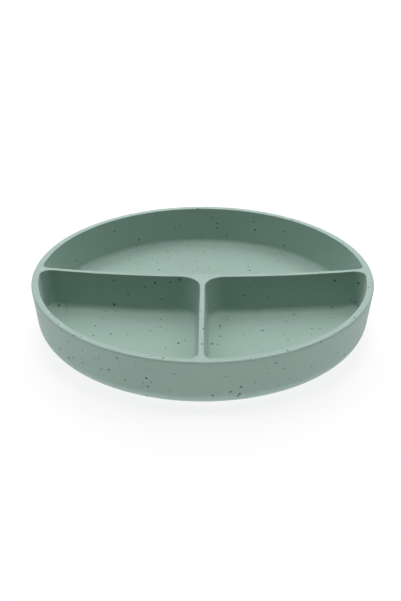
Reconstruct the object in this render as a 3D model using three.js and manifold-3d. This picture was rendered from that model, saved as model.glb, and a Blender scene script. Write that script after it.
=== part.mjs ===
// Divided suction dish: a moulded silicone dish with three compartments, standing on a
// separately moulded suction base with a sealing lip and a release tab.
//
// Millimetres, +Z up. The origin is on the dish's axis, on the surface that it stands on.
// The two small compartments are at the front (-Y) and the large one is at the rear (+Y).

import * as THREE from "three";
import { mergeVertices } from "three/addons/utils/BufferGeometryUtils.js";
import Module from "manifold-3d";

const wasm = await Module();
wasm.setup();

// ---- Driving dimensions -------------------------------------------------------------

// Dish, outside
const RIM_RADIUS = 95; // outermost radius, at the rim
const RIM_HEIGHT = 30; // rim above the table
const FOOT_HEIGHT = 1.6; // foot ring above the table while the suction lip is relaxed
const OUTER_DRAFT = 6.6; // degrees that the outer wall leans in towards the foot
const OUTER_BOTTOM_RADIUS = 10; // curve from the wall into the foot ring
const FOOT_WIDTH = 6;
const FOOT_EDGE_RADIUS = 1;
const OUTER_EDGE_RADIUS = 0.8; // rounding of the rim's outer edge

// Compartments
const COMPARTMENT_DEPTH = 22.2;
const FLOOR_THICKNESS = 2.2;
const RIM_WIDTH = 3.8;
const INNER_EDGE_RADIUS = 0.3; // rounding of the rim's and dividers' top edges
const INNER_DRAFT = 6.6; // degrees, inside of the outer wall
const DIVIDER_DRAFT = 3; // degrees, each face of a divider
const FLOOR_FILLET = 3;

// Dividers, at the top
const DIVIDER_THICKNESS = 2.65;
const LONG_DIVIDER_ARC = 490; // radius of the long divider's bow, centred behind the dish
const LONG_DIVIDER_OFFSET = -3.1; // y of its middle
const TEE_CORNER = 11.5; // corner radius where the short divider meets the long one
const FRONT_CORNER = 5; // corner radius where the short divider meets the rim
const SIDE_CORNER = 5.5; // corner radius where the long divider meets the rim, at the front
const REAR_CORNER = 3.5; // the same at the rear

// Suction base
const GROOVE_INNER = 50; // groove under the floor that locates the base's root
const GROOVE_OUTER = 54;
const GROOVE_DEPTH = 1;
const FOOT_BEVEL = 1; // slope from the floor's underside down to the foot ring
const SEAT_GAP = 0.3; // between neighbouring pieces and zones
const ROOT_INNER = 47;
const ROOT_OUTER = 57;
const ROOT_THICKNESS = 1.4;
const SKIRT_THICKNESS = 1.2;
const SKIRT_LIFT = 0.4; // skirt's outer edge above the table, so that only the lip touches it
const LIP_INNER = 65;
const LIP_OUTER = 75;
const LIP_THICKNESS = 2;
const LIP_EDGE_THICKNESS = 1.2;
const LIP_BEVEL_WIDTH = 2; // slope from the lip's full thickness down to its edge

// Release tab, the notch in the foot ring that it passes through, and the finger scoop
const TAB_WIDTH = 22;
const TAB_END = 91; // distance of the tab's tip from the axis
const TAB_THICKNESS = 1.4;
const TAB_LIFT = 0.4; // its underside above the table
const TAB_TIP_RADIUS = 8;
const GRIP_RIDGES = 3;
const GRIP_RIDGE_PITCH = 3;
const GRIP_RIDGE_RADIUS = 0.5;
const NOTCH_WIDTH = 26;
const NOTCH_TOP = 6.4; // height that the tab can rise to in the notch
const SCOOP_WIDTH = 30;
const SCOOP_RADIUS = 6;
const SCOOP_CENTRE_Y = 92;

// Fineness
const TURN_SEGMENTS = 72;
const REAR_WALL_STEPS = 16; // in each half of the rear compartment's curved wall
const FRONT_WALL_STEPS = 18;
const REAR_BOW_STEPS = 12;
const FRONT_BOW_STEPS = 8;
const TEE_STEPS = 8;
const CORNER_STEPS = 6;
const BOTTOM_STEPS = 8;
const EDGE_STEPS = 5;
const FOOT_EDGE_STEPS = 3;
const EDGE_LEVELS = [0, 0.2, 0.6, 1]; // parts of the edge rounding's depth
const FILLET_LEVELS = [80, 60, 42, 25, 10, 0]; // degrees round the fillet, up from the floor

const radians = THREE.MathUtils.degToRad;
const floorTop = RIM_HEIGHT - COMPARTMENT_DEPTH;
const floorUnderside = floorTop - FLOOR_THICKNESS;

// ---- Solids --------------------------------------------------------------------------

// A geometry as a solid with its faces outwards.
function solidOf(geometry) {
  const bare = geometry.clone();
  bare.deleteAttribute("normal");
  bare.deleteAttribute("uv");
  const merged = mergeVertices(bare, 1e-4);
  const corners = Uint32Array.from(merged.index.array);
  const build = () =>
    new wasm.Manifold(
      new wasm.Mesh({
        numProp: 3,
        vertProperties: new Float32Array(merged.attributes.position.array),
        triVerts: corners,
      }),
    );
  const made = build();
  if (made.volume() > 0) return made;
  for (let i = 0; i < corners.length; i += 3) {
    [corners[i + 1], corners[i + 2]] = [corners[i + 2], corners[i + 1]];
  }
  return build();
}

function geometryOf(solid) {
  const mesh = solid.getMesh();
  const position = new THREE.BufferAttribute(new Float32Array(mesh.vertProperties), 3);
  const geometry = new THREE.BufferGeometry().setAttribute("position", position);
  geometry.setIndex(new THREE.BufferAttribute(new Uint32Array(mesh.triVerts), 1));
  geometry.computeVertexNormals();
  return geometry;
}

// A profile of [radius, height] points turned about the Z axis.
function turned(profile) {
  const points = profile.map(([r, z]) => new THREE.Vector2(r, z));
  return new THREE.LatheGeometry(points, TURN_SEGMENTS).rotateX(Math.PI / 2);
}

// Points on a circle of the [radius, height] plane, angles in degrees.
function arc(centreR, centreZ, radius, fromDegrees, toDegrees, steps) {
  return Array.from({ length: steps + 1 }, (_, i) => {
    const a = radians(fromDegrees + ((toDegrees - fromDegrees) * i) / steps);
    return [centreR + radius * Math.cos(a), centreZ + radius * Math.sin(a)];
  });
}

// ---- Compartments --------------------------------------------------------------------

// How far a wall of the given draft stands in from its line at the rim, at height z. It
// follows the edge rounding at the top, the drafted face, then the fillet to the floor.
function insetAt(z, draftDegrees) {
  const edge = RIM_HEIGHT - INNER_EDGE_RADIUS;
  if (z >= edge) {
    const up = Math.min(z - edge, INNER_EDGE_RADIUS);
    return Math.sqrt(INNER_EDGE_RADIUS ** 2 - up ** 2) - INNER_EDGE_RADIUS;
  }
  const draft = radians(draftDegrees);
  const filletZ = floorTop + FLOOR_FILLET;
  const face = (height) => (edge - height) * Math.tan(draft);
  if (z > filletZ - FLOOR_FILLET * Math.sin(draft)) return face(z);
  const centre = face(filletZ) + FLOOR_FILLET / Math.cos(draft);
  return centre - Math.sqrt(Math.max(0, FLOOR_FILLET ** 2 - (filletZ - z) ** 2));
}

const bowCentre = new THREE.Vector2(0, LONG_DIVIDER_OFFSET + LONG_DIVIDER_ARC);
const axis = new THREE.Vector2(0, 0);

// Where two circles cross, on the side given by the sign of x (and nearest to y = 0).
function crossing(c0, r0, c1, r1, side) {
  const along = c1.clone().sub(c0);
  const d = along.length();
  along.divideScalar(d);
  const a = (d * d + r0 * r0 - r1 * r1) / (2 * d);
  const h = Math.sqrt(r0 * r0 - a * a);
  const across = new THREE.Vector2(-along.y, along.x);
  const p = c0.clone().addScaledVector(along, a);
  const q = p.clone().addScaledVector(across, h);
  return Math.sign(q.x) === side ? q : p.addScaledVector(across, -h);
}

// Points of a circle about centre, from the direction of p to the direction of q by the
// shorter way round, both ends included.
function sweep(centre, radius, p, q, steps) {
  const from = Math.atan2(p.y - centre.y, p.x - centre.x);
  let turn = Math.atan2(q.y - centre.y, q.x - centre.x) - from;
  turn -= 2 * Math.PI * Math.round(turn / (2 * Math.PI));
  return Array.from({ length: steps + 1 }, (_, i) => {
    const a = from + (turn * i) / steps;
    return new THREE.Vector2(
      centre.x + radius * Math.cos(a),
      centre.y + radius * Math.sin(a),
    );
  });
}

// The point at which a corner circle touches a circle about centre.
function touch(corner, centre, radius) {
  const away = corner.clone().sub(centre).setLength(radius);
  return away.add(centre);
}

// Plan outline of the rear compartment, anticlockwise, with its walls moved in.
function rearOutline(wallInset, dividerInset) {
  const wall = RIM_RADIUS - RIM_WIDTH - wallInset;
  const bow = LONG_DIVIDER_ARC - DIVIDER_THICKNESS / 2 - dividerInset;
  const corner = (side) =>
    crossing(axis, wall - REAR_CORNER, bowCentre, bow - REAR_CORNER, side);
  const right = corner(1);
  const left = corner(-1);
  const wallRight = touch(right, axis, wall);
  const wallLeft = touch(left, axis, wall);
  const bowRight = touch(right, bowCentre, bow);
  const bowLeft = touch(left, bowCentre, bow);
  const top = new THREE.Vector2(0, wall);
  return [
    ...sweep(axis, wall, wallRight, top, REAR_WALL_STEPS),
    ...sweep(axis, wall, top, wallLeft, REAR_WALL_STEPS).slice(1),
    ...sweep(left, REAR_CORNER, wallLeft, bowLeft, CORNER_STEPS).slice(1),
    ...sweep(bowCentre, bow, bowLeft, bowRight, REAR_BOW_STEPS).slice(1),
    ...sweep(right, REAR_CORNER, bowRight, wallRight, CORNER_STEPS).slice(1, -1),
  ];
}

// Plan outline of the front right compartment, anticlockwise, with its walls moved in.
function frontOutline(wallInset, dividerInset) {
  const wall = RIM_RADIUS - RIM_WIDTH - wallInset;
  const bow = LONG_DIVIDER_ARC + DIVIDER_THICKNESS / 2 + dividerInset;
  const face = DIVIDER_THICKNESS / 2 + dividerInset;
  const tee = new THREE.Vector2(face + TEE_CORNER, 0);
  tee.y = bowCentre.y - Math.sqrt((bow + TEE_CORNER) ** 2 - tee.x ** 2);
  const front = new THREE.Vector2(face + FRONT_CORNER, 0);
  front.y = -Math.sqrt((wall - FRONT_CORNER) ** 2 - front.x ** 2);
  const side = crossing(axis, wall - SIDE_CORNER, bowCentre, bow + SIDE_CORNER, 1);
  const bowTee = touch(tee, bowCentre, bow);
  const bowSide = touch(side, bowCentre, bow);
  const wallFront = touch(front, axis, wall);
  const wallSide = touch(side, axis, wall);
  const teeFace = new THREE.Vector2(face, tee.y);
  const frontFace = new THREE.Vector2(face, front.y);
  return [
    ...sweep(tee, TEE_CORNER, bowTee, teeFace, TEE_STEPS),
    ...sweep(front, FRONT_CORNER, frontFace, wallFront, CORNER_STEPS),
    ...sweep(axis, wall, wallFront, wallSide, FRONT_WALL_STEPS).slice(1),
    ...sweep(side, SIDE_CORNER, wallSide, bowSide, CORNER_STEPS).slice(1),
    ...sweep(bowCentre, bow, bowSide, bowTee, FRONT_BOW_STEPS).slice(1, -1),
  ];
}

// Heights of a compartment's rings, from just above the rim down to the floor.
function compartmentLevels() {
  return [
    RIM_HEIGHT + 1,
    ...EDGE_LEVELS.map((part) => RIM_HEIGHT - INNER_EDGE_RADIUS * part),
    ...FILLET_LEVELS.map((a) => floorTop + FLOOR_FILLET * (1 - Math.cos(radians(a)))),
  ];
}

// The space of one compartment as a solid that is cut out of the dish.
function compartment(outline, mirrored) {
  const rings = compartmentLevels().map((z) => {
    const plan = outline(insetAt(z, INNER_DRAFT), insetAt(z, DIVIDER_DRAFT));
    const ring = plan.map((p) => new THREE.Vector3(mirrored ? -p.x : p.x, p.y, z));
    return mirrored ? ring.reverse() : ring;
  });
  const count = rings[0].length;
  const positions = rings.flat().flatMap((p) => p.toArray());
  const index = [];
  for (let level = 0; level + 1 < rings.length; level++) {
    for (let i = 0; i < count; i++) {
      const a = level * count + i;
      const b = level * count + ((i + 1) % count);
      index.push(a, a + count, b, b, a + count, b + count);
    }
  }
  const flat = rings[0].map((p) => new THREE.Vector2(p.x, p.y));
  const lowest = (rings.length - 1) * count;
  for (const [a, b, c] of THREE.ShapeUtils.triangulateShape(flat, [])) {
    index.push(a, b, c);
    index.push(lowest + a, lowest + c, lowest + b);
  }
  const geometry = new THREE.BufferGeometry();
  geometry.setAttribute("position", new THREE.Float32BufferAttribute(positions, 3));
  geometry.setIndex(index);
  return solidOf(geometry);
}

// ---- Dish ----------------------------------------------------------------------------

// Profile of the dish before its compartments are cut out, from the underside round.
function dishBlank() {
  const draft = radians(OUTER_DRAFT);
  const edgeZ = RIM_HEIGHT - OUTER_EDGE_RADIUS;
  const edgeR = RIM_RADIUS - OUTER_EDGE_RADIUS;
  const bottomZ = FOOT_HEIGHT + OUTER_BOTTOM_RADIUS;
  const tangentGap = (OUTER_BOTTOM_RADIUS - OUTER_EDGE_RADIUS) / Math.cos(draft);
  const bottomR = edgeR - (edgeZ - bottomZ) * Math.tan(draft) - tangentGap;
  const footInner = bottomR - FOOT_WIDTH;
  const grooveTop = floorUnderside + GROOVE_DEPTH;
  return [
    [0, floorUnderside],
    [GROOVE_INNER, floorUnderside],
    [GROOVE_INNER, grooveTop],
    [GROOVE_OUTER, grooveTop],
    [GROOVE_OUTER, floorUnderside],
    [footInner - FOOT_BEVEL, floorUnderside],
    [footInner, floorUnderside - FOOT_BEVEL / 2],
    ...arc(
      footInner + FOOT_EDGE_RADIUS,
      FOOT_HEIGHT + FOOT_EDGE_RADIUS,
      FOOT_EDGE_RADIUS,
      180,
      270,
      FOOT_EDGE_STEPS,
    ),
    ...arc(bottomR, bottomZ, OUTER_BOTTOM_RADIUS, -90, -OUTER_DRAFT, BOTTOM_STEPS),
    ...arc(edgeR, edgeZ, OUTER_EDGE_RADIUS, -OUTER_DRAFT, 90, EDGE_STEPS),
    [0, RIM_HEIGHT],
  ];
}

// The scoop over the tab's grip: a rounded trough along X, with a straight notch that lets
// the tab through the foot ring.
function fingerScoop() {
  const straight = SCOOP_WIDTH - 2 * SCOOP_RADIUS;
  const trough = new THREE.CapsuleGeometry(SCOOP_RADIUS, straight, 6, 20);
  trough.rotateZ(Math.PI / 2).translate(0, SCOOP_CENTRE_Y, FOOT_HEIGHT);
  const notchLength = SCOOP_CENTRE_Y - LIP_OUTER;
  const notch = new THREE.BoxGeometry(NOTCH_WIDTH, notchLength, 2 * NOTCH_TOP);
  notch.translate(0, LIP_OUTER + notchLength / 2, 0);
  return solidOf(trough).add(solidOf(notch));
}

function dish() {
  return solidOf(turned(dishBlank()))
    .subtract(compartment(rearOutline, false))
    .subtract(compartment(frontOutline, false))
    .subtract(compartment(frontOutline, true))
    .subtract(fingerScoop());
}

// ---- Suction base --------------------------------------------------------------------

const rootTop = floorUnderside - SEAT_GAP;
const rootUnderside = rootTop - ROOT_THICKNESS;

// Root: a flat ring under the floor, with a rib that plugs into the dish's groove.
function suctionRoot() {
  const ribTop = floorUnderside + GROOVE_DEPTH - SEAT_GAP;
  return turned([
    [ROOT_INNER, rootUnderside],
    [ROOT_OUTER, rootUnderside],
    [ROOT_OUTER, rootTop],
    [GROOVE_OUTER - SEAT_GAP, rootTop],
    [GROOVE_OUTER - SEAT_GAP, ribTop],
    [GROOVE_INNER + SEAT_GAP, ribTop],
    [GROOVE_INNER + SEAT_GAP, rootTop],
    [ROOT_INNER, rootTop],
    [ROOT_INNER, rootUnderside],
  ]);
}

// Skirt: the thin cone between the root and the lip, which gives when the dish is pressed.
function suctionSkirt() {
  const inner = ROOT_OUTER + SEAT_GAP;
  const outer = LIP_INNER - SEAT_GAP;
  return turned([
    [inner, rootTop - SKIRT_THICKNESS],
    [outer, SKIRT_LIFT],
    [outer, SKIRT_LIFT + SKIRT_THICKNESS],
    [inner, rootTop],
    [inner, rootTop - SKIRT_THICKNESS],
  ]);
}

// Lip: the flat ring that seals on the table.
function sealingLip() {
  return turned([
    [LIP_INNER, 0],
    [LIP_OUTER, 0],
    [LIP_OUTER, LIP_EDGE_THICKNESS],
    [LIP_OUTER - LIP_BEVEL_WIDTH, LIP_THICKNESS],
    [LIP_INNER, LIP_THICKNESS],
    [LIP_INNER, 0],
  ]);
}

// Release tab: a tongue from the lip's rear edge out to the finger scoop, with ridges
// across its grip.
function releaseTab() {
  const half = TAB_WIDTH / 2;
  const root = LIP_OUTER + SEAT_GAP;
  const rootAngle = Math.asin(half / root);
  const plan = new THREE.Shape();
  plan.absarc(0, 0, root, Math.PI / 2 + rootAngle, Math.PI / 2 - rootAngle, true);
  plan.absarc(
    half - TAB_TIP_RADIUS,
    TAB_END - TAB_TIP_RADIUS,
    TAB_TIP_RADIUS,
    0,
    Math.PI / 2,
    false,
  );
  plan.absarc(
    TAB_TIP_RADIUS - half,
    TAB_END - TAB_TIP_RADIUS,
    TAB_TIP_RADIUS,
    Math.PI / 2,
    Math.PI,
    false,
  );
  const tongue = new THREE.ExtrudeGeometry(plan, {
    depth: TAB_THICKNESS,
    bevelEnabled: false,
    curveSegments: 8,
  });
  let made = solidOf(tongue);
  for (let i = 0; i < GRIP_RIDGES; i++) {
    const ridge = new THREE.CapsuleGeometry(GRIP_RIDGE_RADIUS, half, 3, 8);
    const ridgeY = TAB_END - (i + 1) * GRIP_RIDGE_PITCH;
    ridge.rotateZ(Math.PI / 2).translate(0, ridgeY, TAB_THICKNESS);
    made = made.add(solidOf(ridge));
  }
  return made;
}

// ---- Assembly ------------------------------------------------------------------------

function silicone(color) {
  return new THREE.MeshStandardMaterial({ color, roughness: 0.6, metalness: 0 });
}

function part(name, geometry, material) {
  const mesh = new THREE.Mesh(geometry, material);
  mesh.name = name;
  return mesh;
}

const speckled = silicone(0x9fb9ad);
const plain = silicone(0x97b1a5);

const tab = part("release_tab", geometryOf(releaseTab()), plain);
tab.position.z = TAB_LIFT;

const assembly = new THREE.Group();
assembly.add(
  part("dish", geometryOf(dish()), speckled),
  part("suction_root", suctionRoot(), plain),
  part("suction_skirt", suctionSkirt(), plain),
  part("sealing_lip", sealingLip(), plain),
  tab,
);

export default assembly;
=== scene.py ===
import math

import bmesh
import bpy
import numpy as np
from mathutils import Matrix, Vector, geometry


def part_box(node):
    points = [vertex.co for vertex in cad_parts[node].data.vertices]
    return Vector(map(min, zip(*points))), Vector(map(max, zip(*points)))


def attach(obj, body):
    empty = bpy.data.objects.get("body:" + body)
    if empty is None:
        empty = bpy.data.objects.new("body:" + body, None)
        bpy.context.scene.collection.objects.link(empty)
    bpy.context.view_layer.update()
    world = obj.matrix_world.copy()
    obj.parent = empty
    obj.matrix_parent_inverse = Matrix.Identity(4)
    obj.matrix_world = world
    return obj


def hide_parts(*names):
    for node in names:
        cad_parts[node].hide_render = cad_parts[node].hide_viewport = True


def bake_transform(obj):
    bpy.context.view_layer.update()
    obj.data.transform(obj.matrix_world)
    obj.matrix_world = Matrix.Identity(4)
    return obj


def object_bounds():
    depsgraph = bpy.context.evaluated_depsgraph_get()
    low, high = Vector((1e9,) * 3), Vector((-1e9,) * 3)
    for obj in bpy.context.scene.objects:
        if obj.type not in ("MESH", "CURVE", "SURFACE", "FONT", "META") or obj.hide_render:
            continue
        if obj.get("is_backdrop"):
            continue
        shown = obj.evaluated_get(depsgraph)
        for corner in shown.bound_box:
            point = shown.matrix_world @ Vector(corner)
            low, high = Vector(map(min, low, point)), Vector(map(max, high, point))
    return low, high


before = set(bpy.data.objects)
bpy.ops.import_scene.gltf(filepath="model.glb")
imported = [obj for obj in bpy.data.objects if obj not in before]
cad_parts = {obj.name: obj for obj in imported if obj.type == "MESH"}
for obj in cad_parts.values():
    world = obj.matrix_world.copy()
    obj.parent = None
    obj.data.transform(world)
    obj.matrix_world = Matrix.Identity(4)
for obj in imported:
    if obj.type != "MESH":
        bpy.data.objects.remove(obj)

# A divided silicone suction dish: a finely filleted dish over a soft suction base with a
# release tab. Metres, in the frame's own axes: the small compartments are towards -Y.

CAD_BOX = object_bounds()
MM = 0.001

# ---- Sizes that the frame gives -------------------------------------------------------

dish_low, dish_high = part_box("dish")
root_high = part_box("suction_root")[1]
lip_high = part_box("sealing_lip")[1]
tab_low, tab_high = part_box("release_tab")

RIM_RADIUS = (dish_high.x - dish_low.x) / 2
RIM_HEIGHT = dish_high.z
FOOT_HEIGHT = dish_low.z
ROOT_OUTER = root_high.x
LIP_OUTER = lip_high.x
LIP_THICKNESS = lip_high.z
TAB_LIFT = tab_low.z

# ---- Sizes of the dish ----------------------------------------------------------------

OUTER_DRAFT = math.radians(6.6)
OUTER_BOTTOM_RADIUS = 10 * MM
FOOT_WIDTH = 6 * MM
FOOT_EDGE_RADIUS = 1 * MM
OUTER_EDGE_RADIUS = 0.8 * MM

COMPARTMENT_DEPTH = 22.2 * MM
FLOOR_THICKNESS = 2.2 * MM
FLOOR_TOP = RIM_HEIGHT - COMPARTMENT_DEPTH
FLOOR_UNDERSIDE = FLOOR_TOP - FLOOR_THICKNESS
RIM_WIDTH = 3.8 * MM
INNER_EDGE_RADIUS = 0.3 * MM
INNER_DRAFT = math.radians(6.6)
DIVIDER_DRAFT = math.radians(3)
FLOOR_FILLET = 3 * MM

DIVIDER_THICKNESS = 2.65 * MM
BOW_RADIUS = 490 * MM
BOW_CENTRE = Vector((0, BOW_RADIUS - 3.1 * MM))
TEE_CORNER = 11.5 * MM
FRONT_CORNER = 5 * MM
SIDE_CORNER = 5.5 * MM
REAR_CORNER = 3.5 * MM

GROOVE_INNER = 50 * MM
GROOVE_OUTER = 54 * MM
GROOVE_DEPTH = 1 * MM

NOTCH_WIDTH = 26 * MM
NOTCH_TOP = 6.4 * MM
SCOOP_WIDTH = 30 * MM
SCOOP_RADIUS = 6 * MM
SCOOP_CENTRE_Y = 92 * MM
SCOOP_SPAN = math.radians(12)  # half the angle about the axis in which the scoop lies

UNDERSIDE_RINGS = (12, 24, 36, 47)  # radii in mm, inside the groove
GROOVE_SLOPE = 0.1 * MM
SHELF_START = 60 * MM  # the underside between the groove and the foot ring
FOOT_BEVEL = 1 * MM

# A narrow ring of faces beside each flat keeps the rounding's shading off the flat.
FLAT_MARGIN = 0.2 * MM

# Steps in each stretch of an outline or profile
REAR_WALL_STEPS = 70  # in each half
REAR_BOW_STEPS = 60
FRONT_WALL_STEPS = 60
FRONT_BOW_STEPS = 24
TEE_STEPS = 20
STRAIGHT_STEPS = 20
CORNER_STEPS = 16
INNER_EDGE_STEPS = 6
INNER_WALL_STEPS = 9
FILLET_STEPS = 14
BOTTOM_STEPS = 28
OUTER_WALL_STEPS = 12
OUTER_EDGE_STEPS = 10
SHELF_STEPS = 20
FOOT_EDGE_STEPS = 6
FOOT_STEPS = 14
SCOOP_COLUMNS = 150
OTHER_COLUMNS = 336
SCOOP_SOFTENING = 2  # passes of averaging over the cut's edges

# ---- Sizes of the suction base --------------------------------------------------------

SEAT_CLEARANCE = 0.3 * MM
ROOT_WIDTH = 10 * MM
ROOT_THICKNESS = 1.5 * MM
CUP_EDGE = 0.35 * MM  # blunting of the root's edges
LIP_INNER = 65 * MM
LIP_BEVEL_WIDTH = 2 * MM
LIP_EDGE_RADIUS = 0.6 * MM
SEAL_RIDGES = 4
SEAL_RIDGE_PITCH = 2 * MM
SEAL_RIDGE_HEIGHT = 0.25 * MM
FLOOR_GAP = 0.02 * MM  # keeps the cup's top just off the floor that it is bonded to
SKIRT_FOOT_INSET = 1 * MM
SEAL_STEPS = 8  # in each ridge
SKIRT_STEPS = 14
LIP_EDGE_STEPS = 8
CUP_COLUMNS = 288

TAB_TIP_LENGTH = 8 * MM
TAB_TIP_ROUNDNESS = 2.4  # 2 would be an ellipse; more is squarer
TAB_TIP_GAP = 0.02 * MM
TAB_EDGE_RADIUS = 0.45 * MM
TAB_OVERLAP = 1.5 * MM  # how far the tab's root runs inside the lip
GRIP_RIDGES = 3
GRIP_RIDGE_PITCH = 3 * MM
GRIP_RIDGE_HEIGHT = 0.45 * MM
GRIP_RIDGE_HALF = 0.9 * MM  # half its width along the tab
GRIP_HALF_WIDTH = 6.6 * MM
TAB_BODY_STEPS = 30
TAB_TIP_STEPS = 44
TAB_COLUMNS = 25

# ---- Camera and light -----------------------------------------------------------------

CAMERA_DISTANCE = 508.6 * MM
CAMERA_RISE = 256.9 * MM  # above the rim
CAMERA_TILT = math.radians(28.344)  # below the horizontal
CAMERA_PAN = math.radians(0.133)  # to the left
CAMERA_TURN = math.radians(0.48)  # about the dish's axis, to the right
CAMERA_LENS = 60.9

# Softboxes, all aimed at the middle of the table: name, place, size, power in watts
SOFTBOXES = (
    ("overhead", (0, 0, 1.5), (0.5, 0.5), 6.7),
    ("behind_high", (0, 0.6, 1.37), (1.3, 0.5), 2.5),
    ("behind", (0, 1.0, 1.11), (1.3, 0.9), 8.2),
    ("behind_low", (0, 1.42, 0.48), (1.6, 0.3), 7.2),
    ("left", (-0.95, 0.1, 1.15), (0.4, 0.8), 3.5),
    ("right", (0.95, 0.1, 1.15), (0.4, 0.8), 3.0),
)
TABLE_GLOW = 0.82  # a lit white table, which fills in the shadow under the dish
BACKDROP_GLOW = 1.05  # where it is too far away for the softboxes
TABLE_EDGE = 0.7  # distances from the dish between which the one turns into the other
BACKDROP_START = 1.8
HORIZON_HEIGHT = 0.04  # the backdrop goes on above the table's far edge up to this slope
WORLD_STRENGTH = 0.03

CAMERA_SENSOR = 36
TABLE_HALF = 12

# Colours, linear
SILICONE = (0.36, 0.505, 0.445)
SPECK = (0.035, 0.07, 0.055)
TABLE_COLOR = (0.2, 0.2, 0.2)  # most of its white is the glow, so shadows stay faint

# Silicone
CLOUD_SCALE = 22  # slow changes of tone, in turns per metre
GRAIN_SCALE = 1400
DARK_TONE = 0.955
LIGHT_TONE = 1.04
CLOUD_SHARE = 0.85
GRAIN_SHARE = 0.1
TONE_START = 0.075
ROUGHNESS = 0.52
ROUGHNESS_SPREAD = 0.1
BUMP_STRENGTH = 0.12
BUMP_HEIGHT = 0.05 * MM
SPECULAR = 0.25
SHEEN = 0.2
SHEEN_ROUGHNESS = 0.5

# Specks: cell, smallest and largest radius, and a shift that keeps the two sets apart
LARGE_SPECKS = (4.6 * MM, 0.28 * MM, 0.86 * MM, 0.1)
SMALL_SPECKS = (2.8 * MM, 0.18 * MM, 0.52 * MM, 0.37)
SMALL_SPECK_STRENGTH = 0.6
FAINTEST_SPECK = 0.35
SPECK_SOFTNESS = 0.18 * MM
WOBBLE_SCALE = 1500  # makes the specks' outlines irregular
WOBBLE_AMOUNT = 1.1  # as a part of the largest radius


# ---- Outlines in plan -----------------------------------------------------------------


def arc_points(centre, radius, start, end, steps):
    """Points of a circle in any plane, angles in radians, both ends included."""
    return [
        Vector((centre[0] + radius * math.cos(a), centre[1] + radius * math.sin(a)))
        for a in np.linspace(start, end, steps + 1)
    ]


def sweep(centre, radius, p, q, steps):
    """Points of a circle from the direction of p to that of q, by the shorter way round."""
    start = math.atan2(p.y - centre.y, p.x - centre.x)
    turn = math.atan2(q.y - centre.y, q.x - centre.x) - start
    turn -= 2 * math.pi * round(turn / (2 * math.pi))
    return arc_points(centre, radius, start, start + turn, steps)


def touch(corner, centre, radius):
    """Where a corner circle touches a circle about centre."""
    return centre + (corner - centre).normalized() * radius


def crossing(radius, bow_radius, side):
    """Where a circle about the axis crosses one about the bow's centre, right or left."""
    y = (BOW_CENTRE.y**2 + radius**2 - bow_radius**2) / (2 * BOW_CENTRE.y)
    return Vector((side * math.sqrt(radius**2 - y * y), y))


ORIGIN = Vector((0, 0))


def rear_outline(wall_inset, divider_inset):
    """The rear compartment in plan, anticlockwise, with its walls moved in."""
    wall = RIM_RADIUS - RIM_WIDTH - wall_inset
    bow = BOW_RADIUS - DIVIDER_THICKNESS / 2 - divider_inset
    right = crossing(wall - REAR_CORNER, bow - REAR_CORNER, 1)
    left = crossing(wall - REAR_CORNER, bow - REAR_CORNER, -1)
    wall_right = touch(right, ORIGIN, wall)
    wall_left = touch(left, ORIGIN, wall)
    bow_right = touch(right, BOW_CENTRE, bow)
    bow_left = touch(left, BOW_CENTRE, bow)
    top = Vector((0, wall))
    return (
        sweep(ORIGIN, wall, wall_right, top, REAR_WALL_STEPS)
        + sweep(ORIGIN, wall, top, wall_left, REAR_WALL_STEPS)[1:]
        + sweep(left, REAR_CORNER, wall_left, bow_left, CORNER_STEPS)[1:]
        + sweep(BOW_CENTRE, bow, bow_left, bow_right, REAR_BOW_STEPS)[1:]
        + sweep(right, REAR_CORNER, bow_right, wall_right, CORNER_STEPS)[1:-1]
    )


def front_right_outline(wall_inset, divider_inset):
    """The front right compartment in plan, anticlockwise, with its walls moved in."""
    wall = RIM_RADIUS - RIM_WIDTH - wall_inset
    bow = BOW_RADIUS + DIVIDER_THICKNESS / 2 + divider_inset
    face = DIVIDER_THICKNESS / 2 + divider_inset
    tee_x = face + TEE_CORNER
    tee = Vector((tee_x, BOW_CENTRE.y - math.sqrt((bow + TEE_CORNER) ** 2 - tee_x**2)))
    front_x = face + FRONT_CORNER
    front = Vector((front_x, -math.sqrt((wall - FRONT_CORNER) ** 2 - front_x**2)))
    side = crossing(wall - SIDE_CORNER, bow + SIDE_CORNER, 1)
    bow_tee = touch(tee, BOW_CENTRE, bow)
    bow_side = touch(side, BOW_CENTRE, bow)
    wall_front = touch(front, ORIGIN, wall)
    wall_side = touch(side, ORIGIN, wall)
    tee_face = Vector((face, tee.y))
    front_face = Vector((face, front.y))
    straight = between(tee_face, front_face, STRAIGHT_STEPS)
    return (
        sweep(tee, TEE_CORNER, bow_tee, tee_face, TEE_STEPS)
        + straight
        + sweep(front, FRONT_CORNER, front_face, wall_front, CORNER_STEPS)
        + sweep(ORIGIN, wall, wall_front, wall_side, FRONT_WALL_STEPS)[1:]
        + sweep(side, SIDE_CORNER, wall_side, bow_side, CORNER_STEPS)[1:]
        + sweep(BOW_CENTRE, bow, bow_side, bow_tee, FRONT_BOW_STEPS)[1:-1]
    )


def front_left_outline(wall_inset, divider_inset):
    """The front left compartment: the right one mirrored, and still anticlockwise."""
    mirrored = front_right_outline(wall_inset, divider_inset)
    return [Vector((-p.x, p.y)) for p in reversed(mirrored)]


# ---- The dish -------------------------------------------------------------------------


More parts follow.
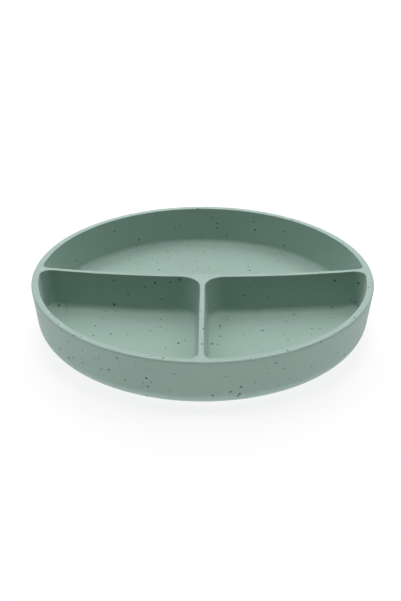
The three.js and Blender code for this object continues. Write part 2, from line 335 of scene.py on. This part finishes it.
class Shell:
    """Collects vertices and faces; vertices in one place are welded at the end."""

    def __init__(self):
        self.vertices = []
        self.faces = []

    def add(self, points):
        first = len(self.vertices)
        self.vertices += [tuple(p) for p in points]
        return list(range(first, len(self.vertices)))

    def band(self, ring, next_ring):
        """Quads between two closed rings of the same length."""
        n = len(ring)
        for i in range(n):
            j = (i + 1) % n
            self.faces.append((ring[i], ring[j], next_ring[j], next_ring[i]))

    def fan(self, ring, point):
        """Triangles from a closed ring to one point."""
        centre = self.add([point])[0]
        for i, v in enumerate(ring):
            self.faces.append((v, ring[(i + 1) % len(ring)], centre))

    def flat(self, outer, holes, z):
        """Triangles over a level area, bounded by one ring and any holes in it."""
        flat_points = []
        edges = []
        for ring in [outer] + holes:
            first = len(flat_points)
            flat_points += [Vector(self.vertices[v][:2]) for v in ring]
            n = len(ring)
            edges += [(first + i, first + (i + 1) % n) for i in range(n)]
        bounds = [[self.vertices[v][:2] for v in ring] for ring in holes]
        found = geometry.delaunay_2d_cdt(flat_points, edges, [], 1, 1e-9)
        new = self.add([(p.x, p.y, z) for p in found[0]])
        corners = np.array([(p.x, p.y) for p in found[0]])
        for a, b, c in found[2]:
            middle = (corners[a] + corners[b] + corners[c]) / 3
            if not any(inside(middle, hole) for hole in bounds):
                self.faces.append((new[a], new[b], new[c]))

    def build(self, name):
        mesh = bpy.data.meshes.new(name)
        mesh.from_pydata(self.vertices, [], self.faces)
        obj = bpy.data.objects.new(name, mesh)
        bpy.context.scene.collection.objects.link(obj)
        tidy_mesh(obj)
        return obj


def inside(point, outline):
    """Whether a point of the plan is inside a closed outline."""
    ring = np.asarray(outline)
    following = np.roll(ring, -1, axis=0)
    spans = (ring[:, 1] > point[1]) != (following[:, 1] > point[1])
    rise = np.where(spans, following[:, 1] - ring[:, 1], 1)
    at = ring[:, 0] + (point[1] - ring[:, 1]) / rise * (following[:, 0] - ring[:, 0])
    return np.count_nonzero(spans & (at > point[0])) % 2 == 1


def tidy_mesh(obj):
    """Welds the seams, turns every face outwards and shades the mesh smooth."""
    bm = bmesh.new()
    bm.from_mesh(obj.data)
    bmesh.ops.remove_doubles(bm, verts=bm.verts, dist=1e-6)
    bmesh.ops.recalc_face_normals(bm, faces=bm.faces)
    for face in bm.faces:
        face.smooth = True
    bm.to_mesh(obj.data)
    bm.free()


def scoop_ceiling(x, y):
    """Height of the scoop's and notch's ceiling over a point of the plan, or 0 outside."""
    straight = SCOOP_WIDTH / 2 - SCOOP_RADIUS
    along = max(abs(x) - straight, 0)
    reach = SCOOP_RADIUS**2 - along**2 - (y - SCOOP_CENTRE_Y) ** 2
    ceiling = FOOT_HEIGHT + math.sqrt(reach) if reach > 0 else 0
    if abs(x) < NOTCH_WIDTH / 2 and LIP_OUTER < y < SCOOP_CENTRE_Y:
        ceiling = max(ceiling, NOTCH_TOP)
    return ceiling


def between(a, b, steps):
    """Points on the straight line from a to b, without its ends."""
    return [a.lerp(b, i / steps) for i in range(1, steps)]


def outside_profile():
    """Radius and height from the middle of the underside up to the rim's flat top."""
    edge = Vector((RIM_RADIUS - OUTER_EDGE_RADIUS, RIM_HEIGHT - OUTER_EDGE_RADIUS))
    bottom_z = FOOT_HEIGHT + OUTER_BOTTOM_RADIUS
    tangent_gap = (OUTER_BOTTOM_RADIUS - OUTER_EDGE_RADIUS) / math.cos(OUTER_DRAFT)
    bottom_r = edge.x - (edge.y - bottom_z) * math.tan(OUTER_DRAFT) - tangent_gap
    bottom = Vector((bottom_r, bottom_z))
    foot_inner = bottom_r - FOOT_WIDTH
    foot_edge = (foot_inner + FOOT_EDGE_RADIUS, FOOT_HEIGHT + FOOT_EDGE_RADIUS)
    groove_top = FLOOR_UNDERSIDE + GROOVE_DEPTH
    quarter = math.pi / 2
    wall_start = arc_points(
        bottom, OUTER_BOTTOM_RADIUS, -quarter, -OUTER_DRAFT, BOTTOM_STEPS
    )
    wall_end = arc_points(edge, OUTER_EDGE_RADIUS, -OUTER_DRAFT, quarter, OUTER_EDGE_STEPS)
    under = [Vector((r * MM, FLOOR_UNDERSIDE)) for r in UNDERSIDE_RINGS]
    groove = [
        Vector((GROOVE_INNER, FLOOR_UNDERSIDE)),
        Vector((GROOVE_INNER + GROOVE_SLOPE, groove_top)),
        Vector((GROOVE_OUTER - GROOVE_SLOPE, groove_top)),
        Vector((GROOVE_OUTER, FLOOR_UNDERSIDE)),
    ]
    shelf_end = foot_inner - FOOT_BEVEL
    shelf_radii = np.linspace(SHELF_START, shelf_end, SHELF_STEPS)
    shelf = [Vector((r, FLOOR_UNDERSIDE)) for r in shelf_radii]
    foot = arc_points(foot_edge, FOOT_EDGE_RADIUS, math.pi, 3 * quarter, FOOT_EDGE_STEPS)
    foot_flat = between(foot[-1], wall_start[0], FOOT_STEPS)
    wall = between(wall_start[-1], wall_end[0], OUTER_WALL_STEPS)
    return under + groove + shelf + foot + foot_flat + wall_start + wall + wall_end


def column_angles():
    """Angles about the axis, close together where the finger scoop is."""
    start = math.pi / 2 - SCOOP_SPAN
    end = math.pi / 2 + SCOOP_SPAN
    close = np.linspace(start, end, SCOOP_COLUMNS, endpoint=False)
    wide = np.linspace(end, start + 2 * math.pi, OTHER_COLUMNS, endpoint=False)
    return np.concatenate([close, wide])


def soften(field, passes):
    """Averages each value with its neighbours, which rounds the edges of a cut."""
    for _ in range(passes):
        field = (np.roll(field, 1, 1) + 2 * field + np.roll(field, -1, 1)) / 4
        padded = np.pad(field, ((1, 1), (0, 0)), mode="edge")
        field = (padded[:-2] + 2 * padded[1:-1] + padded[2:]) / 4
    return field


def add_outside(shell):
    """The underside, foot ring, outer wall and the rim's outer rounding."""
    profile = outside_profile()
    angles = column_angles()
    radius = np.array([p.x for p in profile])[:, None]
    x = radius * np.cos(angles)
    y = radius * np.sin(angles)
    z = np.array([p.y for p in profile])[:, None] + np.zeros_like(x)
    ceiling = np.vectorize(scoop_ceiling, otypes=[float])(x, y)
    z += soften(np.maximum(ceiling - z, 0), SCOOP_SOFTENING)
    rings = [shell.add(zip(*row)) for row in zip(x, y, z)]
    for ring, following in zip(rings, rings[1:]):
        shell.band(ring, following)
    shell.fan(list(reversed(rings[0])), (0, 0, FLOOR_UNDERSIDE))
    return rings[-1]


def inset_at(z, draft):
    """How far a wall of this draft stands in from its line at the rim, at height z."""
    edge = RIM_HEIGHT - INNER_EDGE_RADIUS
    if z >= edge:
        return math.sqrt(max(INNER_EDGE_RADIUS**2 - (z - edge) ** 2, 0)) - INNER_EDGE_RADIUS
    fillet_z = FLOOR_TOP + FLOOR_FILLET
    if z > fillet_z - FLOOR_FILLET * math.sin(draft):
        return (edge - z) * math.tan(draft)
    centre = (edge - fillet_z) * math.tan(draft) + FLOOR_FILLET / math.cos(draft)
    return centre - math.sqrt(max(FLOOR_FILLET**2 - (fillet_z - z) ** 2, 0))


def compartment_levels():
    """Heights of a compartment's rings, from the rim down to the floor."""
    edge_angles = quarter_steps(INNER_EDGE_STEPS)
    fillet_angles = quarter_steps(FILLET_STEPS)
    edge = [RIM_HEIGHT - INNER_EDGE_RADIUS * (1 - math.cos(a)) for a in edge_angles]
    fillet = [FLOOR_TOP + FLOOR_FILLET * (1 - math.sin(a)) for a in fillet_angles]
    wall = list(np.linspace(edge[-1], fillet[0], INNER_WALL_STEPS))[1:-1]
    return edge + wall + fillet


def quarter_steps(count):
    """Angles from 0 to a quarter turn, both ends included."""
    return [math.pi / 2 * i / count for i in range(count + 1)]


def add_compartment(shell, outline):
    """The walls and floor of one compartment. Its ring at the rim's flat top is returned."""

    def ring_at(z, extra=0):
        plan = outline(inset_at(z, INNER_DRAFT) + extra, inset_at(z, DIVIDER_DRAFT) + extra)
        return shell.add([(p.x, p.y, z) for p in plan])

    rings = [ring_at(RIM_HEIGHT, -FLAT_MARGIN)]
    rings += [ring_at(z) for z in compartment_levels()]
    rings.append(ring_at(FLOOR_TOP, FLAT_MARGIN))
    for ring, following in zip(rings, rings[1:]):
        shell.band(ring, following)
    shell.flat(rings[-1], [], FLOOR_TOP)
    return rings[0]


def make_dish():
    """The whole dish as one closed surface."""
    shell = Shell()
    edge = add_outside(shell)
    outlines = (rear_outline, front_right_outline, front_left_outline)
    holes = [add_compartment(shell, outline) for outline in outlines]
    shrink = 1 - FLAT_MARGIN / (RIM_RADIUS - OUTER_EDGE_RADIUS)
    margin = shell.add(
        (shell.vertices[v][0] * shrink, shell.vertices[v][1] * shrink, RIM_HEIGHT) for v in edge
    )
    shell.band(edge, margin)
    shell.flat(margin, holes, RIM_HEIGHT)
    return shell.build("dish_moulding")


# ---- The suction base -----------------------------------------------------------------


def smooth_line(a, b, steps):
    """Points from a to b on a line that leaves and arrives level."""
    points = []
    for t in np.linspace(0, 1, steps + 1):
        ease = t * t * (3 - 2 * t)
        points.append(Vector((a.x + (b.x - a.x) * t, a.y + (b.y - a.y) * ease)))
    return points


def seal_line():
    """The lip's underside, from its inner edge out: rounded ridges that touch the table."""
    points = []
    for t in np.linspace(0, SEAL_RIDGES, SEAL_STEPS * SEAL_RIDGES + 1):
        gap = SEAL_RIDGE_HEIGHT * math.cos(math.pi * t) ** 2
        points.append(Vector((LIP_INNER + t * SEAL_RIDGE_PITCH, gap)))
    return points


def cup_profile():
    """The closed section of the root, skirt and lip, from the root's inner top round."""
    top = FLOOR_UNDERSIDE - FLOOR_GAP
    rib_top = top + GROOVE_DEPTH - SEAT_CLEARANCE
    root_inner = ROOT_OUTER - ROOT_WIDTH
    root_under = top - ROOT_THICKNESS
    root = [
        Vector((root_inner + CUP_EDGE, top)),
        Vector((GROOVE_INNER + SEAT_CLEARANCE, top)),
        Vector((GROOVE_INNER + 1.5 * SEAT_CLEARANCE, rib_top)),
        Vector((GROOVE_OUTER - 1.5 * SEAT_CLEARANCE, rib_top)),
        Vector((GROOVE_OUTER - SEAT_CLEARANCE, top)),
    ]
    skirt_end = Vector((LIP_INNER, LIP_THICKNESS))
    skirt_top = smooth_line(Vector((ROOT_OUTER, top)), skirt_end, SKIRT_STEPS)
    bevel = [Vector((LIP_OUTER - LIP_BEVEL_WIDTH, LIP_THICKNESS))]
    edge_centre = (LIP_OUTER - LIP_EDGE_RADIUS, LIP_EDGE_RADIUS)
    quarter = math.pi / 2
    edge = arc_points(edge_centre, LIP_EDGE_RADIUS, quarter, -quarter, LIP_EDGE_STEPS)
    seal = list(reversed(seal_line()))
    skirt_foot = Vector((ROOT_OUTER - SKIRT_FOOT_INSET, root_under))
    skirt_under = smooth_line(seal[-1], skirt_foot, SKIRT_STEPS)[1:]
    root_edge = [
        Vector((root_inner + CUP_EDGE, root_under)),
        Vector((root_inner, root_under + CUP_EDGE)),
        Vector((root_inner, top - CUP_EDGE)),
    ]
    return root + skirt_top + bevel + edge + seal + skirt_under + root_edge


def make_cup():
    """The root, skirt and lip as one moulding, turned about the axis."""
    shell = Shell()
    angles = np.linspace(0, 2 * math.pi, CUP_COLUMNS, endpoint=False)
    rings = []
    for p in cup_profile():
        ring = [(p.x * math.cos(a), p.x * math.sin(a), p.y) for a in angles]
        rings.append(shell.add(ring))
    for ring, following in zip(rings, rings[1:] + rings[:1]):
        shell.band(ring, following)
    return shell.build("suction_cup")


def tab_half_width(y):
    """Half the tab's width at y: parallel sides, then a rounded tip."""
    full = (tab_high.x - tab_low.x) / 2
    past = max((y - (tab_high.y - TAB_TIP_LENGTH)) / TAB_TIP_LENGTH, 0)
    return full * max(1 - past**TAB_TIP_ROUNDNESS, 0) ** (1 / TAB_TIP_ROUNDNESS)


def grip_lift(y):
    """Height of the grip ridges above the tab's face at y."""
    for i in range(GRIP_RIDGES):
        ridge_y = tab_high.y - (i + 1) * GRIP_RIDGE_PITCH
        offset = abs(y - ridge_y) / GRIP_RIDGE_HALF
        if offset < 1:
            return GRIP_RIDGE_HEIGHT * math.cos(offset * math.pi / 2) ** 2
    return 0


def tab_section(y):
    """The closed section across the tab at y, anticlockwise from the middle of its top."""
    half = tab_half_width(y)
    edge = min(TAB_EDGE_RADIUS, half * 0.9)
    face = tab_high.z - GRIP_RIDGE_HEIGHT
    across = np.linspace(-1, 1, TAB_COLUMNS)
    upper = []
    lower = []
    for u in across:
        x = half * u
        side = max((abs(x) - (half - edge)) / edge, 0)
        pull = edge * (1 - math.sqrt(max(1 - side * side, 0)))
        grip = grip_lift(y) * max(1 - (x / GRIP_HALF_WIDTH) ** 6, 0)
        upper.append((x, y, face - pull + grip))
        lower.append((x, y, TAB_LIFT + pull))
    return list(reversed(upper)) + lower


def make_tab():
    """A tongue, lofted from its root inside the lip to its rounded tip."""
    start = tab_low.y - TAB_OVERLAP
    tip_start = tab_high.y - TAB_TIP_LENGTH
    body = np.linspace(start, tip_start, TAB_BODY_STEPS)
    tip_angles = np.linspace(0.02, math.pi / 2 - 0.03, TAB_TIP_STEPS)  # just short of both ends
    tip = tip_start + TAB_TIP_LENGTH * np.sin(tip_angles)
    middle = (TAB_LIFT + tab_high.z - GRIP_RIDGE_HEIGHT) / 2
    shell = Shell()
    rings = [shell.add(tab_section(y)) for y in np.concatenate([body, tip])]
    for ring, following in zip(rings, rings[1:]):
        shell.band(ring, following)
    shell.fan(list(reversed(rings[0])), (0, start, middle))
    shell.fan(rings[-1], (0, tab_high.y - TAB_TIP_GAP, middle))
    return shell.build("release_tongue")


# ---- Materials ------------------------------------------------------------------------


class Nodes:
    """Short calls for building a material's node tree."""

    def __init__(self, name):
        self.material = bpy.data.materials.new(name)
        self.material.use_nodes = True
        self.tree = self.material.node_tree
        self.shader = self.tree.nodes["Principled BSDF"]
        self.place = self.new("ShaderNodeTexCoord").outputs["Object"]

    def new(self, kind, **settings):
        node = self.tree.nodes.new(kind)
        for key, value in settings.items():
            setattr(node, key, value)
        return node

    def link(self, source, target):
        self.tree.links.new(source, target)

    def noise(self, scale, detail=2.0, roughness=0.5):
        node = self.new("ShaderNodeTexNoise")
        node.inputs["Scale"].default_value = scale
        node.inputs["Detail"].default_value = detail
        node.inputs["Roughness"].default_value = roughness
        self.link(self.place, node.inputs["Vector"])
        return node

    def maths(self, operation, a, b=None, c=None, clamp=False):
        node = self.new("ShaderNodeMath", operation=operation, use_clamp=clamp)
        for socket, value in zip(node.inputs, (a, b, c)):
            if value is None:
                continue
            if isinstance(value, (int, float)):
                socket.default_value = value
            else:
                self.link(value, socket)
        return node.outputs[0]

    def mix(self, factor, a, b):
        node = self.new("ShaderNodeMix", data_type="RGBA")
        factor_in, a_in, b_in = node.inputs[0], node.inputs[6], node.inputs[7]
        for socket, value in ((factor_in, factor), (a_in, a), (b_in, b)):
            if isinstance(value, (int, float)):
                socket.default_value = value
            elif isinstance(value, tuple):
                socket.default_value = (*value, 1)
            else:
                self.link(value, socket)
        return node.outputs[2]


def scattered_specks(nodes, cell, smallest, largest, shift):
    """Irregular specks in the body of the material, one in each cell, as a 0 to 1 mask."""
    wobble = nodes.noise(WOBBLE_SCALE, 1.0)
    centred = nodes.new("ShaderNodeVectorMath", operation="SUBTRACT")
    nodes.link(wobble.outputs["Color"], centred.inputs[0])
    centred.inputs[1].default_value = (0.5, 0.5, 0.5)
    scaled = nodes.new("ShaderNodeVectorMath", operation="SCALE")
    nodes.link(centred.outputs[0], scaled.inputs[0])
    scaled.inputs["Scale"].default_value = WOBBLE_AMOUNT * largest
    moved = nodes.new("ShaderNodeVectorMath", operation="ADD")
    nodes.link(nodes.place, moved.inputs[0])
    nodes.link(scaled.outputs[0], moved.inputs[1])
    offset = nodes.new("ShaderNodeVectorMath", operation="ADD")
    nodes.link(moved.outputs[0], offset.inputs[0])
    offset.inputs[1].default_value = (shift, shift * 2, shift * 3)
    cells = nodes.new("ShaderNodeTexVoronoi", voronoi_dimensions="3D", feature="F1")
    cells.inputs["Scale"].default_value = 1 / cell
    nodes.link(offset.outputs[0], cells.inputs["Vector"])
    chance = nodes.new("ShaderNodeSeparateColor")
    nodes.link(cells.outputs["Color"], chance.inputs[0])
    spread = nodes.maths("MULTIPLY", chance.outputs[0], (largest - smallest) / cell)
    radius = nodes.maths("ADD", spread, smallest / cell)
    depth = nodes.maths("SUBTRACT", radius, cells.outputs["Distance"])
    mask = nodes.maths("DIVIDE", depth, SPECK_SOFTNESS / cell, clamp=True)
    chance_share = 1 - FAINTEST_SPECK
    strength = nodes.maths("MULTIPLY_ADD", chance.outputs[1], chance_share, FAINTEST_SPECK)
    return nodes.maths("MULTIPLY", mask, strength)


def silicone(name, speckled):
    """Matte moulded silicone, slightly uneven in tone, with specks in its body if asked."""
    nodes = Nodes(name)
    shader = nodes.shader
    cloud = nodes.noise(CLOUD_SCALE, 3.0).outputs["Fac"]
    grain = nodes.noise(GRAIN_SCALE, 2.0, 0.6).outputs["Fac"]
    dark = tuple(DARK_TONE * c for c in SILICONE)
    light = tuple(LIGHT_TONE * c for c in SILICONE)
    tone = nodes.maths("MULTIPLY_ADD", cloud, CLOUD_SHARE, TONE_START)
    fine_tone = nodes.maths("MULTIPLY", grain, GRAIN_SHARE)
    color = nodes.mix(nodes.maths("ADD", tone, fine_tone), dark, light)
    if speckled:
        large = scattered_specks(nodes, *LARGE_SPECKS)
        small = scattered_specks(nodes, *SMALL_SPECKS)
        faint = nodes.maths("MULTIPLY", small, SMALL_SPECK_STRENGTH)
        specks = nodes.maths("MAXIMUM", large, faint)
        color = nodes.mix(specks, color, SPECK)
    nodes.link(color, shader.inputs["Base Color"])
    rough = nodes.maths("MULTIPLY_ADD", cloud, ROUGHNESS_SPREAD, ROUGHNESS)
    nodes.link(rough, shader.inputs["Roughness"])
    bump = nodes.new("ShaderNodeBump")
    bump.inputs["Strength"].default_value = BUMP_STRENGTH
    bump.inputs["Distance"].default_value = BUMP_HEIGHT
    nodes.link(grain, bump.inputs["Height"])
    nodes.link(bump.outputs["Normal"], shader.inputs["Normal"])
    shader.inputs["Specular IOR Level"].default_value = SPECULAR
    shader.inputs["Sheen Weight"].default_value = SHEEN
    shader.inputs["Sheen Roughness"].default_value = SHEEN_ROUGHNESS
    return nodes.material


# ---- Pieces ---------------------------------------------------------------------------


def dress(obj, material):
    obj.data.materials.append(material)


def make_object():
    speckled = silicone("speckled_silicone", True)
    plain = silicone("base_silicone", False)

    dish = make_dish()
    dress(dish, speckled)
    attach(dish, "dish")
    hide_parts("dish")

    cup = make_cup()
    dress(cup, plain)
    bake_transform(cup)
    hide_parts("suction_root", "suction_skirt", "sealing_lip")

    tab = make_tab()
    dress(tab, plain)
    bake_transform(tab)
    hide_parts("release_tab")


# ---- Studio ---------------------------------------------------------------------------


def make_camera():
    camera = bpy.data.cameras.new("camera")
    camera.sensor_width = CAMERA_SENSOR
    camera.lens = CAMERA_LENS
    obj = bpy.data.objects.new("camera", camera)
    x = CAMERA_DISTANCE * math.sin(CAMERA_TURN)
    y = -CAMERA_DISTANCE * math.cos(CAMERA_TURN)
    obj.location = (x, y, RIM_HEIGHT + CAMERA_RISE)
    obj.rotation_euler = (math.pi / 2 - CAMERA_TILT, 0, CAMERA_TURN + CAMERA_PAN)
    bpy.context.scene.collection.objects.link(obj)
    bpy.context.scene.camera = obj


def make_softbox(name, place, size, power):
    light = bpy.data.lights.new(name, "AREA")
    light.shape = "RECTANGLE"
    light.size, light.size_y = size
    light.energy = power
    obj = bpy.data.objects.new(name, light)
    obj.location = place
    obj.rotation_euler = (-Vector(place)).to_track_quat("-Z", "Y").to_euler()
    bpy.context.scene.collection.objects.link(obj)


def make_floor():
    half = TABLE_HALF
    mesh = bpy.data.meshes.new("floor")
    corners = [(-half, -half, 0), (half, -half, 0), (half, half, 0), (-half, half, 0)]
    mesh.from_pydata(corners, [], [(0, 1, 2, 3)])
    floor = bpy.data.objects.new("floor", mesh)
    nodes = Nodes("floor")
    distance = nodes.new("ShaderNodeVectorMath", operation="LENGTH")
    nodes.link(nodes.place, distance.inputs[0])
    glow = nodes.new("ShaderNodeMapRange", interpolation_type="SMOOTHSTEP")
    nodes.link(distance.outputs["Value"], glow.inputs["Value"])
    glow.inputs["From Min"].default_value = TABLE_EDGE
    glow.inputs["From Max"].default_value = BACKDROP_START
    glow.inputs["To Min"].default_value = TABLE_GLOW
    glow.inputs["To Max"].default_value = BACKDROP_GLOW
    shader = nodes.shader
    shader.inputs["Base Color"].default_value = (*TABLE_COLOR, 1)
    shader.inputs["Roughness"].default_value = 0.9
    shader.inputs["Emission Color"].default_value = (1, 1, 1, 1)
    nodes.link(glow.outputs["Result"], shader.inputs["Emission Strength"])
    mesh.materials.append(nodes.material)
    bpy.context.scene.collection.objects.link(floor)
    floor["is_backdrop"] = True


def make_world():
    world = bpy.data.worlds.new("world")
    world.use_nodes = True
    tree = world.node_tree
    direction = tree.nodes.new("ShaderNodeTexCoord").outputs["Generated"]
    parts = tree.nodes.new("ShaderNodeSeparateXYZ")
    fade = tree.nodes.new("ShaderNodeMapRange")
    fade.interpolation_type = "SMOOTHSTEP"
    fade.inputs["From Min"].default_value = HORIZON_HEIGHT / 2
    fade.inputs["From Max"].default_value = HORIZON_HEIGHT
    fade.inputs["To Min"].default_value = BACKDROP_GLOW
    fade.inputs["To Max"].default_value = WORLD_STRENGTH
    tree.links.new(direction, parts.inputs[0])
    tree.links.new(parts.outputs["Z"], fade.inputs["Value"])
    background = tree.nodes["Background"]
    background.inputs["Color"].default_value = (1, 1, 1, 1)
    tree.links.new(fade.outputs["Result"], background.inputs["Strength"])
    bpy.context.scene.world = world


make_camera()
make_object()
make_floor()
make_world()
for softbox in SOFTBOXES:
    make_softbox(*softbox)
bpy.context.scene.view_settings.view_transform = "Standard"

sizes = {"cad": CAD_BOX, "visual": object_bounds()}
{k: [list(corner) for corner in v] for k, v in sizes.items()}
